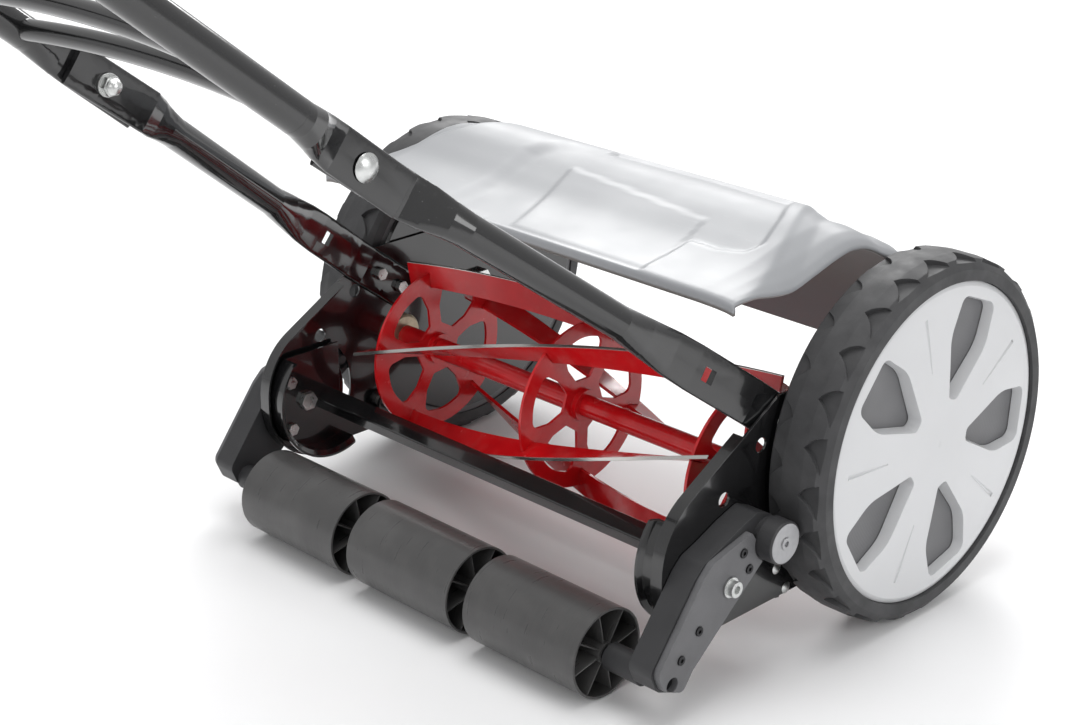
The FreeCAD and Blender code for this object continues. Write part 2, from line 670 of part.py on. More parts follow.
def arm_outline(grow):
    """The roller arm seen from the side, grown outwards by a distance."""
    return [
        (-178, 141 + grow, 6),
        (-200, 134 + grow, 8),
        (-222, 124.5 + grow, 8),
        (-238 - grow, 119 + grow, 8),
        (-248 - grow, 110, 8),
        (-293.5 - grow, 50, 9),
        (-286 - grow, 33 - grow, 9),
        (-263, 23.5 - grow, 6),
        (-251.5 + grow, 38.5 - grow, 6),
        (-186, 94 - grow, 6),
        (-170, 99 - grow, 6),
        (-158 + grow, 107, 5),
        (-160 + grow, 133 + grow, 6),
    ]


def roller_arm():
    """Moulded arm outside the side plate, from the height knob down to the roller's end."""
    body = slab(arm_outline(0), ARM_INNER_X, ARM_OUTER_X - 2)
    boss = drum(202, ARM_INNER_X + 1, 11, ROLLER_Y, ROLLER_Z)
    knob = knob_spot()
    collar = drum(ARM_OUTER_X - 3, ARM_OUTER_X + 1, KNOB_RADIUS - 1.5, knob.y, knob.z)
    body = joined([body, boss, collar])
    cuts = [
        drum(200, 249, ROLLER_AXLE_RADIUS, ROLLER_Y, ROLLER_Z),
        drum(248, 300, SOCKET_RADIUS, ROLLER_Y, ROLLER_Z),
        drum(200, 300, 5 + RUNNING_CLEARANCE, PIVOT_Y, PIVOT_Z),
        drum(200, 300, 4 + RUNNING_CLEARANCE, knob.y, knob.z),
        drum(200, SPRING_END_X, 11, knob.y, knob.z),
    ]
    for y, z in arm_screw_spots():
        cuts.append(drum(ARM_INNER_X + 6, 300, 2, y, z))
    body = body.cut(cuts)
    return body.cut(slab(cover_outline(), ARM_OUTER_X - 2.2, ARM_OUTER_X + 9))


def cover_outline():
    return [
        (-190.9, 130.5, 3),
        (-234.5, 119.9, 10),
        (-245.0, 109.9, 10),
        (-291.0, 49.9, 9),
        (-284.0, 34.5, 9),
        (-263.0, 25.6, 6),
        (-252.6, 39.9, 6),
        (-174.0, 104.6, 3),
    ]


def arm_cover():
    """Grey cover plate on the outside of the arm."""
    body = slab(cover_outline(), ARM_OUTER_X - 2, ARM_COVER_X)
    knob = knob_spot()
    cuts = [
        drum(200, 300, KNOB_RADIUS + 1, knob.y, knob.z),
        drum(200, 300, SOCKET_RADIUS, ROLLER_Y, ROLLER_Z),
        drum(200, 300, 5 + RUNNING_CLEARANCE, PIVOT_Y, PIVOT_Z),
    ]
    for y, z in arm_screw_spots():
        cuts.append(drum(200, 300, 2, y, z))
        cuts.append(drum(ARM_COVER_X - 1, 300, 3.8, y, z))
    return body.cut(cuts)


def arm_screw_spots():
    return [(-199.9, 116.8), (-192.6, 101.3), (-247.4, 70.4), (-266.3, 53.7)]


def arm_screws(side):
    screws = []
    for y, z in arm_screw_spots():
        shank = drum(ARM_INNER_X + 6.5, ARM_COVER_X - 1, 1.9, y, z)
        head = drum(ARM_COVER_X - 1, ARM_COVER_X + 1.2, 3.6, y, z)
        socket = hexagon(ARM_COVER_X - 0.2, ARM_COVER_X + 2, 3, y, z)
        screws.append(joined([shank, head]).cut(socket))
    if side < 0:
        screws = [mirrored(screw) for screw in screws]
    return screws


def arm_pivot_bolt():
    """The bolt that the roller arm swings on, held in the side plate."""
    shank = drum(BRACKET_X - 7, ARM_COVER_X + 0.4, 5, PIVOT_Y, PIVOT_Z)
    flange = drum(ARM_COVER_X + 0.3, ARM_COVER_X + 1.8, 8, PIVOT_Y, PIVOT_Z)
    head = drum(ARM_COVER_X + 1.7, ARM_COVER_X + 7, 6.2, PIVOT_Y, PIVOT_Z)
    spacer = drum(BRACKET_X, PLATE_OUTER_X - PLATE_THICKNESS, 8, PIVOT_Y, PIVOT_Z)
    nut = hexagon(BRACKET_X - 7, BRACKET_X - 2, 15, PIVOT_Y, PIVOT_Z)
    recess = hexagon(ARM_COVER_X + 4, ARM_COVER_X + 8, 6, PIVOT_Y, PIVOT_Z)
    turned_recess = recess.copy()
    turned_recess.rotate(Vector(0, PIVOT_Y, PIVOT_Z), Vector(1, 0, 0), 30)
    return joined([shank, flange, head, spacer, nut]).cut([recess, turned_recess])


def knob_spot():
    return on_circle(PIVOT_Y, PIVOT_Z, KNOB_REACH, KNOB_ANGLE)


def height_knob():
    """The pull knob, with its locking pin; the stem slides in the arm."""
    spot = knob_spot()
    grip = drum(ARM_OUTER_X + 1.3, KNOB_FACE_X - 1.2, KNOB_RADIUS, spot.y, spot.z)
    grip = grip.makeFillet(1.5, [edge for edge in grip.Edges if edge.Closed])
    stem = drum(PLATE_OUTER_X - 4, ARM_OUTER_X + 3, 4, spot.y, spot.z)
    collar = drum(SPRING_START_X - 2.5, SPRING_START_X, 9, spot.y, spot.z)
    return joined([grip, stem, collar]).cut(drum(KNOB_FACE_X - 3, 300, KNOB_RADIUS - 1.6, spot.y, spot.z))


def knob_cap():
    """Brushed disc pressed into the face of the knob, with a socket screw in its middle."""
    spot = knob_spot()
    disc = drum(KNOB_FACE_X - 3, KNOB_FACE_X - 1, KNOB_RADIUS - 1.6, spot.y, spot.z)
    screw = drum(KNOB_FACE_X - 1, KNOB_FACE_X, 5, spot.y, spot.z)
    return joined([disc, screw]).cut(hexagon(KNOB_FACE_X - 1.6, KNOB_FACE_X + 1, 4.5, spot.y, spot.z))


def knob_spring():
    """The spring that pushes the pin into its hole, between the stem's collar and the arm."""
    spot = knob_spot()
    wire = 0.6
    start = SPRING_START_X + wire + 0.3
    length = SPRING_END_X - SPRING_START_X - 2 * wire - 0.6
    turns = 4
    steps = 12 * turns
    radius = 7.5
    wires = []
    for step in range(steps + 1):
        turn = 2 * math.pi * turns * step / steps
        out = Vector(0, math.cos(turn), math.sin(turn))
        centre = Vector(start + length * step / steps, spot.y, spot.z) + out * radius
        corners = []
        for k in range(8):
            side = 2 * math.pi * k / 8
            corners.append(centre + out * (wire * math.cos(side)) + Vector(wire * math.sin(side), 0, 0))
        wires.append(Part.makePolygon(corners + corners[:1]))
    return Part.makeLoft(wires, True, True)


# ---------------------------------------------------------------- handle
def section(centre, side, up, half_thickness, half_height):
    """A closed rounded section of a tube that may be squashed: sixteen points on a superellipse."""
    power = 1.0 - 0.45 * (1.0 - half_thickness / half_height)
    points = []
    for k in range(16):
        turn = 2 * math.pi * k / 16
        across = math.cos(turn)
        along = math.sin(turn)
        across = math.copysign(abs(across) ** power, across)
        along = math.copysign(abs(along) ** power, along)
        points.append(centre + side * (half_thickness * across) + up * (half_height * along))
    curve = Part.BSplineCurve()
    curve.interpolate(points, PeriodicFlag=True)
    return Part.Wire(curve.toShape())


def squashed_tube(stations):
    """A tube through (centre, half thickness, half height) stations; it is squashed sideways."""
    wires = []
    count = len(stations)
    for index in range(count):
        before = stations[max(index - 1, 0)][0]
        after = stations[min(index + 1, count - 1)][0]
        way = (after - before).normalize()
        side = Vector(1, 0, 0) - way * way.x
        side.normalize()
        up = way.cross(side)
        centre, half_thickness, half_height = stations[index]
        wires.append(section(centre, side, up, half_thickness, half_height))
    return Part.makeLoft(wires, True, True)


def lower_way():
    return (HANDLE_JOINT - HANDLE_BEND).normalize()


def tip_way():
    """The direction of the lower tube's flattened tip, which lies flat against the upper leg."""
    way = lower_way()
    return Vector(UPPER_CONVERGE, way.y, way.z).normalize()


def bolt_spot():
    return HANDLE_JOINT - tip_way() * BOLT_OFFSET


def lower_tube():
    """Steel tube, flattened where it is bolted to the side plate and to the upper handle."""
    way = lower_way()
    length = (HANDLE_JOINT - HANDLE_BEND).Length
    flat_way = Vector(0, way.y, way.z).normalize()
    flat = (FLAT_HALF_THICKNESS, FLAT_HALF_HEIGHT)
    tip = (FLAT_HALF_THICKNESS, 16.5)
    stations = [
        (HANDLE_BEND - flat_way * 72, *flat),
        (HANDLE_BEND - flat_way * 10, *flat),
        (HANDLE_BEND + way * 12, *flat),
        (HANDLE_BEND + way * 75, *flat),
        (HANDLE_BEND + way * 100, 4.0, 17.2),
        (HANDLE_BEND + way * 130, 8.8, 14.6),
        (HANDLE_BEND + way * 155, TUBE_RADIUS, TUBE_RADIUS),
        (HANDLE_BEND + way * (length - 104), TUBE_RADIUS, TUBE_RADIUS),
        (HANDLE_BEND + way * (length - 90) - Vector(1.5, 0, 0), 10.6, 13.6),
        (HANDLE_BEND + way * (length - 74) - Vector(6, 0, 0), 4.8, 15.8),
        (HANDLE_JOINT - tip_way() * 60, *tip),
        (HANDLE_JOINT + tip_way() * 22, *tip),
    ]
    body = squashed_tube(stations)
    bore = rod(HANDLE_BEND + way * 150, HANDLE_BEND + way * (length - 102), TUBE_RADIUS - TUBE_WALL)
    cuts = [bore, rod(bolt_spot() - Vector(30, 0, 0), bolt_spot() + Vector(30, 0, 0), 4)]
    hole = HANDLE_BEND + way * 62
    square = Part.makeBox(60, 11, 11, Vector(-30, -5.5, -5.5))
    square.rotate(Vector(0, 0, 0), Vector(1, 0, 0), 180 - math.degrees(math.atan2(way.z, -way.y)))
    square.translate(hole)
    cuts.append(square)
    for y, z in plate_bolt_spots():
        cuts.append(drum(200, 260, 3, y, z))
    return body.cut(cuts)


def plate_bolt(y, z):
    """Bolt through the side plate and the flattened tube."""
    shank = drum(221, PLATE_OUTER_X, 3, y, z)
    nut = hexagon(221, HANDLE_FLAT_X - FLAT_HALF_THICKNESS - 0.2, 10, y, z)
    return joined([shank, nut, domed_head(PLATE_OUTER_X, 6, 1.6, y, z)])


def upper_way():
    pitch = math.radians(UPPER_PITCH)
    return Vector(UPPER_CONVERGE, -math.cos(pitch), math.sin(pitch)).normalize()


def upper_start():
    """Where the flattened end of an upper leg lies against the lower tube."""
    return HANDLE_JOINT + Vector(2 * FLAT_HALF_THICKNESS + 0.35, 0, 0)


def upper_shift():
    """How far outboard the round part of an upper leg lies from its flattened end."""
    return Vector(TUBE_RADIUS - FLAT_HALF_THICKNESS - 1.5, 0, 0)


def top_bend():
    """The top of a leg, the bend that turns it inboard, and the spot where the crossbar starts."""
    way = upper_way()
    top = upper_start() + way * UPPER_LENGTH + upper_shift()
    inboard = Vector(-1, 0, 0)
    side = (inboard - way * inboard.dot(way)).normalize()
    centre = top + side * GRIP_BEND
    angle = math.degrees(way.getAngle(inboard))
    axis = way.cross(side)
    disc = Part.Face(Part.Wire(Part.makeCircle(TUBE_RADIUS, top, way)))
    corner = centre + FreeCAD.Rotation(axis, angle).multVec(top - centre)
    return top, disc.revolve(centre, axis, angle), corner


def upper_handle():
    """One bent tube: two long legs and the bar across their top."""
    way = upper_way()
    start = upper_start()
    shift = upper_shift()
    round_from = 56.0
    overlap = TUBE_RADIUS + 0.06
    stations = [
        (start - way * 52, FLAT_HALF_THICKNESS, 16.5),
        (start + way * 14, FLAT_HALF_THICKNESS, 16.5),
        (start + way * 30 + shift * 0.3, 5.4, 15.6),
        (start + way * 44 + shift * 0.8, 10.4, 13.8),
        (start + way * round_from + shift, overlap, overlap),
        (start + way * (round_from + 6) + shift, overlap, overlap),
    ]
    leg_start = start + way * (round_from + 2) + shift
    top, bend, corner = top_bend()
    opposite = Vector(-corner.x, corner.y, corner.z)
    leg_end = squashed_tube(stations)
    leg = rod(leg_start, top, TUBE_RADIUS)
    handle = joined([leg, bend, rod(opposite, corner, TUBE_RADIUS), mirrored(bend), mirrored(leg)])
    handle = joined([handle, leg_end, mirrored(leg_end)])
    handle = handle.cut(rod(bolt_spot() - Vector(300, 0, 0), bolt_spot() + Vector(30, 0, 0), 4))
    bore_radius = TUBE_RADIUS - TUBE_WALL
    leg_bore = rod(leg_start + way * 6, top - way * 2, bore_radius)
    bar_bore = rod(opposite + Vector(3, 0, 0), corner - Vector(3, 0, 0), bore_radius)
    return handle.cut([leg_bore, mirrored(leg_bore), bar_bore])


def handle_grip():
    """Foam sleeve round the bar at the top of the handle."""
    centre = top_bend()[2]
    half = 46
    sleeve = drum(-half, half, TUBE_RADIUS + 6, centre.y, centre.z)
    return sleeve.cut(drum(-60, 60, TUBE_RADIUS, centre.y, centre.z))


def cross_brace(distance, rise):
    """A slightly arched tube between the upper handle's legs."""
    way = upper_way()
    spot = upper_start() + upper_shift() + way * distance
    across = Vector(0, way.z, -way.y).normalize()
    if across.z < 0:
        across = across * -1
    left = Vector(-spot.x, spot.y, spot.z)
    right = Vector(spot.x, spot.y, spot.z)
    arc = Part.Arc(left, Vector(0, spot.y, spot.z) + across * rise, right).toShape()
    disc = Part.Wire(Part.makeCircle(BRACE_RADIUS, left, arc.tangentAt(arc.FirstParameter)))
    brace = Part.Wire([arc]).makePipeShell([disc], True, False)
    leg = rod(spot - way * 60, spot + way * 60, TUBE_RADIUS)
    solids = brace.cut(leg).cut(mirrored(leg)).Solids
    return max(solids, key=lambda solid: solid.Volume)


def handle_bolt():
    """Carriage bolt through both flattened tubes; its domed head is outside."""
    x = bolt_spot().x
    y = bolt_spot().y
    z = bolt_spot().z
    outer = x + 3 * FLAT_HALF_THICKNESS + 0.35 + 1.0
    return joined([drum(x - 15, outer, 4, y, z), domed_head(outer - 0.1, 10, 4.5, y, z)])


def handle_nut():
    """Domed cap nut inside the handle."""
    x = bolt_spot().x
    y = bolt_spot().y
    z = bolt_spot().z
    inner = x - FLAT_HALF_THICKNESS - 0.6
    body = hexagon(inner - 7, inner - 1.2, 14, y, z)
    cap = [(inner - 6, 0), (inner - 6, 6.5)]
    for step in range(1, 7):
        turn = math.pi / 2 * step / 6
        cap.append((inner - 7 - 6.5 * math.sin(turn), 6.5 * math.cos(turn)))
    cap[-1] = (cap[-1][0], 0)
    washer = drum(inner - 1.5, inner, 9, y, z)
    return joined([body, turned(cap, y, z), washer]).cut(drum(x - 15, x, 4, y, z))


# ---------------------------------------------------------------- hood
def hood_line(inwards):
    """Points (y, z) from the top of the rear lip, over the crest and down the front of the hood."""
    spine = [(-182, 299), (-150, 303), (-118, 308), (-90, 315), (-62, 322), (-40, 324.5), (-16, 320),
             (8, 308), (34, 288), (56, 262), (74, 230), (84, 198), (88, 172)]
    last = len(spine) - 1
    points = []
    for index, (y, z) in enumerate(spine):
        before = spine[max(index - 1, 0)]
        after = spine[min(index + 1, last)]
        run = math.hypot(after[0] - before[0], after[1] - before[1])
        points.append((y + inwards * (after[1] - before[1]) / run,
                       z - inwards * (after[0] - before[0]) / run))
    return points


def hood_wire(x, drop):
    """Closed section of the hood sheet at x, drawn in by a drop, with the lip along its rear edge."""
    outside = hood_line(drop)
    inside = hood_line(drop + HOOD_WALL)
    lip_z = outside[0][1] - HOOD_LIP
    outside.insert(0, (outside[0][0], lip_z))
    inside[0] = (outside[0][0] + HOOD_WALL, inside[0][1])
    inside.insert(0, (inside[0][0], lip_z))
    points = [Vector(x, y, z) for y, z in outside + inside[::-1]]
    return Part.makePolygon(points + points[:1])


def hood():
    """The clipping guard: an arched sheet with its side edges turned down."""
    middle = Part.Face(hood_wire(-196, 0)).extrude(Vector(392, 0, 0))
    edge = [(196, 0), (212, 2.5), (222, 6.5), (228, 13)]
    pieces = [middle]
    for index in range(len(edge) - 1):
        side = Part.makeLoft([hood_wire(*edge[index]), hood_wire(*edge[index + 1])], True, True)
        pieces += [side, mirrored(side)]
    return joined(pieces)


def hood_bracket():
    """Cranked strap from the side plate up to the underside of the hood."""
    outer = PLATE_OUTER_X - PLATE_THICKNESS - 0.3
    foot = slab([(14, 168, 4), (38, 168, 4), (38, 206, 0.5), (14, 206, 0.5)], outer - 3, outer)
    crank = Part.makeBox(outer - 218, 24, 3, Vector(218, 14, 203))
    top = slab([(14, 203, 0.5), (38, 203, 0.5), (38, 269, 1), (18, 286, 1)], 218, 221)
    return joined([foot, crank, top])


# ---------------------------------------------------------------- output
def both_sides(shape):
    return [("l", mirrored(shape)), ("r", shape)]


def groups():
    """Every node and its solids, in the layout frame."""
    parts = {}
    for name, make in (
        ("wheel_tyre", tyre), ("wheel_body", wheel_body), ("wheel_cover", wheel_cover),
        ("wheel_axle", wheel_axle), ("drive_pinion", drive_pinion), ("side_plate", side_plate),
        ("rear_bracket", bracket), ("roller_arm", roller_arm), ("arm_cover", arm_cover),
        ("height_knob", height_knob), ("knob_cap", knob_cap), ("handle_tube", lower_tube),
        ("gear_guard", gear_guard), ("knob_spring", knob_spring),
    ):
        for suffix, shape in both_sides(make()):
            parts[name + "_" + suffix] = shape
    for name, make in (
        ("axle_clips", axle_clip), ("ratchet_pawls", ratchet_pawl), ("reel_bearings", reel_bearing),
        ("arm_pivot_bolts", arm_pivot_bolt),
        ("handle_bolts", handle_bolt), ("handle_nuts", handle_nut),
        ("hood_brackets", hood_bracket),
    ):
        parts[name] = Part.makeCompound([shape for suffix, shape in both_sides(make())])
    parts["reel_shaft"] = reel_shaft()
    for index in range(BLADE_COUNT):
        parts["reel_blade_" + str(index + 1)] = reel_blade(index)
    for name, x in (("left", -SPIDER_X), ("middle", 0.0), ("right", SPIDER_X)):
        parts["reel_spider_" + name] = reel_spider(x)
    for name, x in (("left", -1), ("middle", 0), ("right", 1)):
        parts["roller_" + name] = roller_segment(x * (ROLLER_LENGTH + ROLLER_GAP))
    parts["roller_axle"] = roller_axle()
    parts["rear_tie_bar"] = rear_tie_bar()
    parts["bedknife_bar"] = bedknife_bar()
    parts["bedknife"] = bedknife()
    parts["bedknife_screws"] = bedknife_screws()
    parts["arm_screws"] = Part.makeCompound(arm_screws(1) + arm_screws(-1))
    parts["handle_upper"] = upper_handle()
    parts["handle_grip"] = handle_grip()
    parts["cross_brace_lower"] = cross_brace(66, 8)
    parts["cross_brace_upper"] = cross_brace(124, 8)
    parts["hood"] = hood()
    bolts = []
    for y, z in bracket_bolt_spots():
        bolts.append(bracket_bolt(y, z))
    for y, z in plate_bolt_spots():
        bolts.append(plate_bolt(y, z))
    adjusters = [bedknife_adjuster(y, z) for y, z in bedknife_bolt_spots()]
    parts["bedknife_adjusters"] = Part.makeCompound(adjusters + [mirrored(bolt) for bolt in adjusters])
    parts["plate_bolts"] = Part.makeCompound(bolts + [mirrored(bolt) for bolt in bolts])
    return parts


def write(node, shape, shift):
    solid = shape.copy()
    solid.translate(Vector(0, shift, 0))
    solid.exportStep(os.path.join("parts", node + ".step"))


def build():
    os.makedirs("parts", exist_ok=True)
    parts = groups()
    front = max(shape.BoundBox.YMax for shape in parts.values())
    back = min(shape.BoundBox.YMin for shape in parts.values())
    for node, shape in parts.items():
        write(node, shape, -(front + back) / 2)


if __name__ == "__main__":
    build()
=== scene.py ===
import json
import math

import bpy
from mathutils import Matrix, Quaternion, Vector


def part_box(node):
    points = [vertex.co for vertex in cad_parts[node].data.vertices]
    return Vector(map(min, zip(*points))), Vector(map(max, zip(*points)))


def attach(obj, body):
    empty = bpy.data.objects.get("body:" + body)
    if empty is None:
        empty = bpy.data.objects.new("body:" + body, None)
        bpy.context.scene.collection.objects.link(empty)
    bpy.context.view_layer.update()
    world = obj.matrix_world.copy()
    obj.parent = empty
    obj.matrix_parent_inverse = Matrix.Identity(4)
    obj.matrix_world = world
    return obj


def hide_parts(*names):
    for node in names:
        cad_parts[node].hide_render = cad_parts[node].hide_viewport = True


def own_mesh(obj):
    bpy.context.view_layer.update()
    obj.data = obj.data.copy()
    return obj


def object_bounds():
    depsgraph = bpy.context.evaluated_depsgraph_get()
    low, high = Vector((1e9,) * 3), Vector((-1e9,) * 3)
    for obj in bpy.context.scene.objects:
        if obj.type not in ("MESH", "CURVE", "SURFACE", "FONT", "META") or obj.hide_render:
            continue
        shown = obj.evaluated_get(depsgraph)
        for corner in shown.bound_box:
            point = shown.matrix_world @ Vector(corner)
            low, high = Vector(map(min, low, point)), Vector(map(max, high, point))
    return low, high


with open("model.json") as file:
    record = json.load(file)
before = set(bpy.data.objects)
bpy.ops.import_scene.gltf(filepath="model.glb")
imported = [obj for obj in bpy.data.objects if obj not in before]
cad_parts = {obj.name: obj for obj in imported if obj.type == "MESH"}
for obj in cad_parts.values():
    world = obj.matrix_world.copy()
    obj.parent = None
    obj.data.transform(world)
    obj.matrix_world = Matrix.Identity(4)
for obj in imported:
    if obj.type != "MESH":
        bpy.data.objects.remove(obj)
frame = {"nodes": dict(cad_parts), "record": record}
cad_low, cad_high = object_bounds()

# The looks of a push reel mower.  Lengths are in metres; +X is the mower's right, +Y is forwards, +Z is up.

# ---------------------------------------------------------------- places read from the frame
MM = 0.001


def middle_of(node):
    low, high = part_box(node)
    return (low + high) / 2


WHEEL = middle_of("wheel_tyre_r")
AXLE = Vector((0, WHEEL.y, WHEEL.z))
REEL = Vector((0, middle_of("reel_shaft").y, middle_of("reel_shaft").z))


def place(x, y, z):
    """A point in millimetres from the ground under the wheel axles, in the row frame."""
    return Vector((x * MM, AXLE.y + y * MM, z * MM))


# ---------------------------------------------------------------- camera and light
# Lights are in watts; the surround's strength has no unit.
CAMERA_AZIMUTH = math.radians(44.81)      # to the right of straight behind
CAMERA_ELEVATION = math.radians(22.09)
CAMERA_ROLL = math.radians(0.36)
CAMERA_DISTANCE = 1.790
CAMERA_LENS = 70.74                       # millimetres, on a 36 mm wide sensor
CAMERA_TARGET = place(-34.3, -114.7, 157.5)


def add_camera():
    view = Vector((
        -math.sin(CAMERA_AZIMUTH) * math.cos(CAMERA_ELEVATION),
        math.cos(CAMERA_AZIMUTH) * math.cos(CAMERA_ELEVATION),
        -math.sin(CAMERA_ELEVATION),
    ))
    data = bpy.data.cameras.new("camera")
    data.lens = CAMERA_LENS
    data.sensor_width = 36.0
    data.clip_end = 50.0
    camera = bpy.data.objects.new("camera", data)
    bpy.context.scene.collection.objects.link(camera)
    camera.rotation_mode = "QUATERNION"
    camera.rotation_quaternion = view.to_track_quat("-Z", "Y") @ Quaternion((0, 0, 1), CAMERA_ROLL)
    camera.location = CAMERA_TARGET - view * CAMERA_DISTANCE
    bpy.context.scene.camera = camera


AMBIENT = 0.62
TOP_POWER = 22.0
SIDE_POWER = 13.0
REAR_POWER = 7.0
FRONT_POWER = 84.0


def add_light(name, size, power, where, target):
    data = bpy.data.lights.new(name, "AREA")
    data.shape = "SQUARE"
    data.size = size
    data.energy = power
    light = bpy.data.objects.new(name, data)
    light.location = where
    light.rotation_mode = "QUATERNION"
    light.rotation_quaternion = (Vector(target) - Vector(where)).to_track_quat("-Z", "Y")
    bpy.context.scene.collection.objects.link(light)


def add_studio():
    """A white room: an even pale surround, large soft boxes and a near-white floor."""
    world = bpy.data.worlds.new("studio")
    world.use_nodes = True
    nodes = world.node_tree.nodes
    links = world.node_tree.links
    coordinate = nodes.new("ShaderNodeTexCoord")
    split = nodes.new("ShaderNodeSeparateXYZ")
    ramp = nodes.new("ShaderNodeValToRGB")
    ramp.color_ramp.elements[0].position = 0.0
    ramp.color_ramp.elements[0].color = (0.95, 0.95, 0.96, 1)
    ramp.color_ramp.elements[1].position = 0.8
    ramp.color_ramp.elements[1].color = (1.0, 1.0, 1.0, 1)
    links.new(coordinate.outputs["Generated"], split.inputs[0])
    links.new(split.outputs["Z"], ramp.inputs[0])
    links.new(ramp.outputs["Color"], nodes["Background"].inputs["Color"])
    nodes["Background"].inputs["Strength"].default_value = AMBIENT
    bpy.context.scene.world = world
    bpy.context.scene.view_settings.view_transform = "Standard"
    centre = (cad_low + cad_high) / 2
    add_light("top", 1.5, TOP_POWER, (0.1, 0.3, 2.3), (0.0, 0.4, 0.1))
    add_light("right", 1.1, SIDE_POWER, (2.3, 0.3, 1.3), (0.2, 0.4, 0.15))
    add_light("rear", 1.0, REAR_POWER, (0.6, -2.2, 1.5), (0.0, 0.3, 0.15))
    add_light("front", 1.9, FRONT_POWER, (-1.9, 2.9, 2.2), (0.0, 0.4, 0.2))
    bpy.ops.mesh.primitive_plane_add(size=30, location=(centre.x, centre.y, cad_low.z - 0.0004))
    floor = bpy.context.object
    floor.name = "floor"
    paint = Paint("floor", (0.90, 0.90, 0.905), 0.7)
    paint.speckle(3.0, 0.01)
    floor.data.materials.append(paint.material)


# ---------------------------------------------------------------- materials
class Paint:
    """A principled material that is built up one effect at a time."""

    def __init__(self, name, colour, roughness, metallic=0.0, specular=0.5):
        self.material = bpy.data.materials.new(name)
        self.material.use_nodes = True
        self.nodes = self.material.node_tree.nodes
        self.links = self.material.node_tree.links
        self.surface = self.nodes["Principled BSDF"]
        self.surface.inputs["Metallic"].default_value = metallic
        self.surface.inputs["Specular IOR Level"].default_value = specular
        self.where = self.nodes.new("ShaderNodeTexCoord").outputs["Object"]
        self.colour = colour
        self.roughness = roughness
        self.normal = None
        self.finish()

    def feed(self, value, socket):
        """A colour or number that varies is linked; one that is the same all over is set."""
        if isinstance(value, tuple):
            socket.default_value = (*value, 1)
        elif isinstance(value, float):
            socket.default_value = value
        else:
            self.links.new(value, socket)

    def finish(self):
        self.feed(self.colour, self.surface.inputs["Base Color"])
        self.feed(self.roughness, self.surface.inputs["Roughness"])
        if self.normal is not None:
            self.links.new(self.normal, self.surface.inputs["Normal"])

    def noise(self, scale, detail=4.0, stretch=(1, 1, 1), roughness=0.55):
        """Noise whose grain is 1/scale metres across; stretch multiplies the scale along each axis."""
        mapping = self.nodes.new("ShaderNodeMapping")
        mapping.inputs["Scale"].default_value = stretch
        self.links.new(self.where, mapping.inputs["Vector"])
        node = self.nodes.new("ShaderNodeTexNoise")
        node.inputs["Scale"].default_value = scale
        node.inputs["Detail"].default_value = detail
        node.inputs["Roughness"].default_value = roughness
        self.links.new(mapping.outputs[0], node.inputs["Vector"])
        return node.outputs["Fac"]

    def map(self, value, low, high, to_low=0.0, to_high=1.0):
        node = self.nodes.new("ShaderNodeMapRange")
        node.inputs["From Min"].default_value = low
        node.inputs["From Max"].default_value = high
        node.inputs["To Min"].default_value = to_low
        node.inputs["To Max"].default_value = to_high
        self.links.new(value, node.inputs["Value"])
        return node.outputs[0]

    def math(self, operation, first, second=None):
        node = self.nodes.new("ShaderNodeMath")
        node.operation = operation
        for index, value in enumerate((first, second)):
            if value is None:
                continue
            if isinstance(value, (int, float)):
                node.inputs[index].default_value = value
            else:
                self.links.new(value, node.inputs[index])
        return node.outputs[0]

    def mix_colour(self, share, colour):
        """The colour so far goes over to another one by a share."""
        node = self.nodes.new("ShaderNodeMix")
        node.data_type = "RGBA"
        self.links.new(share, node.inputs["Factor"])
        self.feed(self.colour, node.inputs["A"])
        self.feed(colour, node.inputs["B"])
        self.colour = node.outputs["Result"]
        self.finish()

    def mix_roughness(self, share, roughness):
        node = self.nodes.new("ShaderNodeMix")
        self.links.new(share, node.inputs["Factor"])
        self.feed(self.roughness, node.inputs["A"])
        self.feed(roughness, node.inputs["B"])
        self.roughness = node.outputs["Result"]
        self.finish()

    def mix_metallic(self, share, inside, outside):
        value = self.map(share, 0.0, 1.0, outside, inside)
        self.links.new(value, self.surface.inputs["Metallic"])

    def speckle(self, scale, amount):
        """Uneven tone: lighter and darker patches."""
        patches = self.map(self.noise(scale, 5.0), 0.3, 0.7, 1 - amount, 1 + amount)
        node = self.nodes.new("ShaderNodeMix")
        node.data_type = "RGBA"
        node.blend_type = "MULTIPLY"
        node.inputs["Factor"].default_value = 1.0
        self.feed(self.colour, node.inputs["A"])
        self.links.new(patches, node.inputs["B"])
        self.colour = node.outputs["Result"]
        self.finish()

    def uneven_gloss(self, scale, low, high, stretch=(1, 1, 1)):
        """Roughness that wanders between two values."""
        self.roughness = self.map(self.noise(scale, 5.0, stretch), 0.3, 0.7, low, high)
        self.finish()

    def bump(self, height, depth, strength=1.0):
        """Relief of a depth in metres from a height between 0 and 1."""
        node = self.nodes.new("ShaderNodeBump")
        node.inputs["Strength"].default_value = strength
        node.inputs["Distance"].default_value = depth
        self.links.new(height, node.inputs["Height"])
        if self.normal is not None:
            self.links.new(self.normal, node.inputs["Normal"])
        self.normal = node.outputs[0]
        self.finish()

    def soft_edges(self, radius):
        """Rounds off every edge of the shading by a radius in metres."""
        node = self.nodes.new("ShaderNodeBevel")
        node.samples = 4
        node.inputs["Radius"].default_value = radius
        if self.normal is not None:
            raise ValueError("soft edges come before any bump")
        self.normal = node.outputs[0]
        self.finish()

    def from_axis(self, axis_point):
        """Distance in metres from a line along X through a point."""
        split = self.nodes.new("ShaderNodeSeparateXYZ")
        self.links.new(self.where, split.inputs[0])
        y = self.math("SUBTRACT", split.outputs["Y"], axis_point.y)
        z = self.math("SUBTRACT", split.outputs["Z"], axis_point.z)
        squares = self.math("ADD", self.math("MULTIPLY", y, y), self.math("MULTIPLY", z, z))
        return self.math("SQRT", squares)

